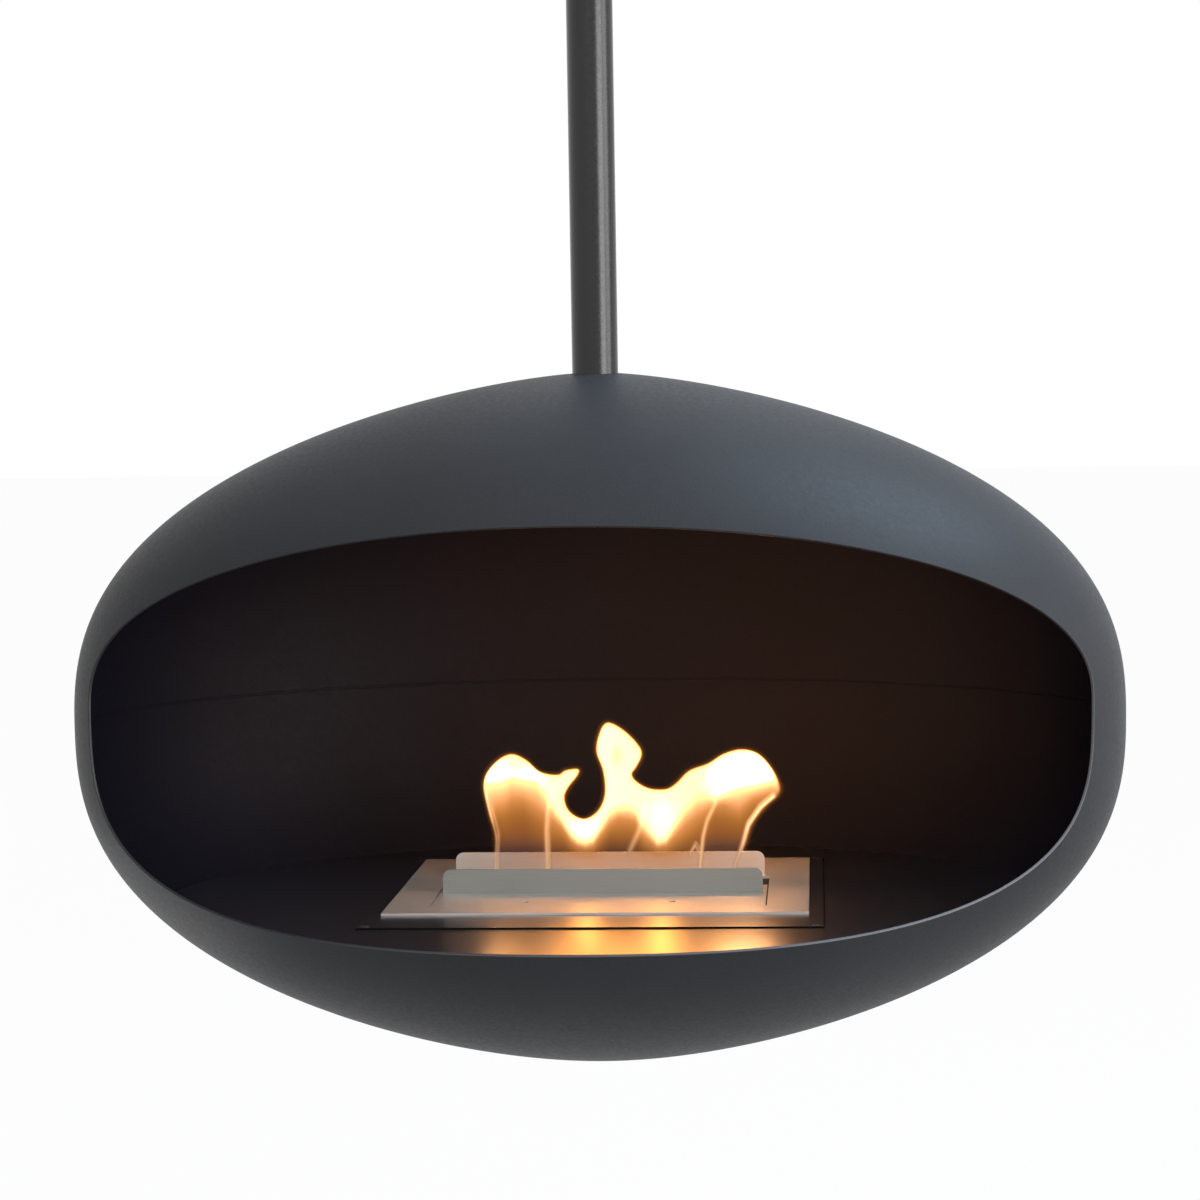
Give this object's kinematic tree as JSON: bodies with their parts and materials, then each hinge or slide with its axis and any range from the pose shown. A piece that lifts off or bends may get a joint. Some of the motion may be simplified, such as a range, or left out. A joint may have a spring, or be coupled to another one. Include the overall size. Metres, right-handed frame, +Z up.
{
  "type": "hung bioethanol fireplace",
  "caption": "Pebble-shaped black steel fire pod with a wide front mouth and a stainless bioethanol burner, hung from the ceiling on a round swivelling pole.",
  "frame": {"origin": "centre of the ceiling plate's upper face, where it meets the ceiling; the whole part hangs below it", "axes": "+Z up along the pole into the ceiling, +X across the pod's width to the right as seen from the front, -Y out of the mouth towards the viewer"},
  "size_m": [0.92, 0.5398, 1.51],
  "materials": {
    "coat": "fine-grained matt charcoal powder coat",
    "hearth": "semi-gloss black stove enamel",
    "stainless": "brushed stainless steel",
    "plain_steel": "dark rolled steel",
    "zinc": "zinc-plated steel",
    "bronze": "turned bearing bronze",
    "wool": "white ceramic wool"
  },
  "bodies": {
    "ceiling": {"ceiling_plate": "plain_steel", "swivel_housing": "plain_steel", "housing_screws": "zinc", "swivel_bush": "bronze", "canopy": "coat", "canopy_screws": "zinc"},
    "pod": {"swivel_stem": "zinc", "thrust_washer": "zinc", "stem_nut": "zinc", "nut_lock_pin": "plain_steel", "pole": "coat", "cross_bolt": "zinc", "cross_nut": "zinc", "pole_plug": "zinc", "hanger_plate": "plain_steel", "hanger_washer": "zinc", "hanger_bolt": "zinc", "upper_shell": "coat", "lower_shell": "coat", "hearth_plate": "hearth", "insert_ledge": "plain_steel", "hearth_insert": "hearth", "insert_screws": "zinc"},
    "burner": {"burner_top": "stainless", "burner_cover": "stainless", "fuel_tank": "stainless", "ceramic_wool": "wool", "wool_retainer": "stainless", "rear_lip": "stainless", "rear_lip_rivets": "stainless"},
    "slider": {"slider_plate": "stainless", "front_lip": "stainless", "front_lip_rivets": "stainless", "guide_pins": "stainless", "guide_washers": "stainless"}
  },
  "joints": [
    {"name": "swivel", "type": "hinge", "parent": "ceiling", "child": "pod", "pos_m": [0, 0, 0], "axis": [0, 0, 1], "continuous": true},
    {"name": "burner_lift", "type": "slide", "parent": "pod", "child": "burner", "axis": [0, 0, 1], "range_m": [0, 0.08]},
    {"name": "slider_travel", "type": "slide", "parent": "burner", "child": "slider", "axis": [0, 1, 0], "range_m": [0, 0.035]}
  ]
}
